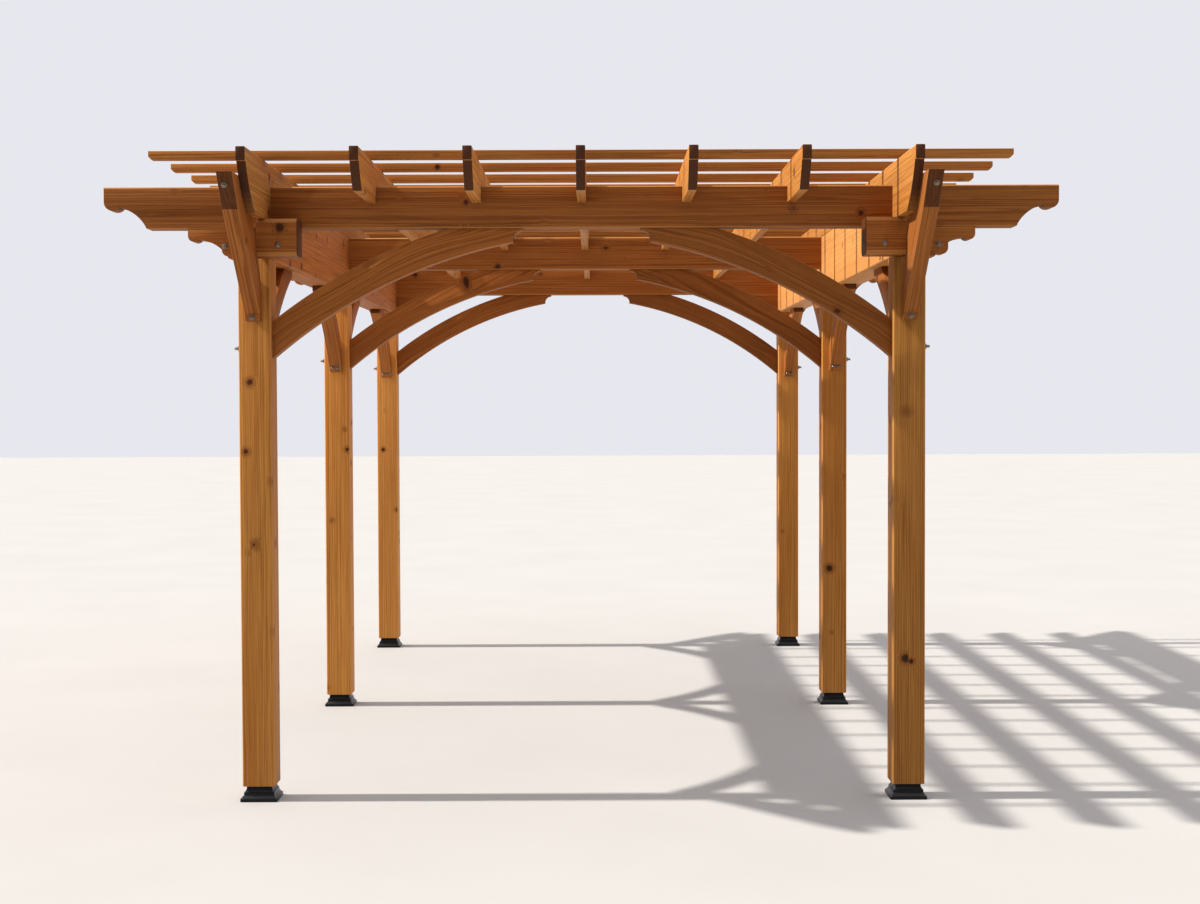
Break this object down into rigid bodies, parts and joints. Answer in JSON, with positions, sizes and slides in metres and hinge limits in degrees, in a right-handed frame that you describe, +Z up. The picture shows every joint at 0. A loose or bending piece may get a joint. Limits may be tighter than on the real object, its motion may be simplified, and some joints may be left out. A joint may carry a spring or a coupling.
{
  "type": "timber pergola",
  "caption": "Free-standing timber pergola: scroll-cut cross beams on square posts with curved braces, deep side beams, long rafters, square roof slats and black metal post bases.",
  "frame": {"origin": "on the floor, at the centre of the footprint", "axes": "+X to the right across the frames, +Y from front to back along the rafters, +Z up"},
  "size_m": [4.118, 6.02, 2.793],
  "materials": {
    "post_wood": "oiled softwood, honey brown, knotty",
    "beam_wood": "oiled softwood, amber brown",
    "brace_wood": "oiled softwood, amber brown, grain along the curve",
    "rafter_wood": "oiled softwood, honey brown",
    "slat_wood": "oiled softwood, reddish honey",
    "base_metal": "black satin coating"
  },
  "bodies": {
    "root": {"post_front_left": "post_wood", "post_front_right": "post_wood", "post_middle_left": "post_wood", "post_middle_right": "post_wood", "post_back_left": "post_wood", "post_back_right": "post_wood", "base_front_left": "base_metal", "base_front_right": "base_metal", "base_middle_left": "base_metal", "base_middle_right": "base_metal", "base_back_left": "base_metal", "base_back_right": "base_metal", "beam_front": "beam_wood", "beam_middle": "beam_wood", "beam_back": "beam_wood", "side_beam_left": "beam_wood", "side_beam_right": "beam_wood", "arch_front_left": "brace_wood", "arch_front_right": "brace_wood", "arch_middle_left": "brace_wood", "arch_middle_right": "brace_wood", "arch_back_left": "brace_wood", "arch_back_right": "brace_wood", "corbels_front": "beam_wood", "corbels_middle": "beam_wood", "corbels_back": "beam_wood", "seat_blocks_front": "beam_wood", "seat_blocks_back": "beam_wood", "overhang_braces_front": "brace_wood", "overhang_braces_back": "brace_wood", "knee_braces_left_front": "brace_wood", "knee_braces_left_back": "brace_wood", "knee_braces_right_front": "brace_wood", "knee_braces_right_back": "brace_wood", "rafter_1": "rafter_wood", "rafter_2": "rafter_wood", "rafter_3": "rafter_wood", "rafter_4": "rafter_wood", "rafter_5": "rafter_wood", "rafter_6": "rafter_wood", "rafter_7": "rafter_wood", "slats_front": "slat_wood", "slats_back": "slat_wood"}
  },
  "joints": []
}
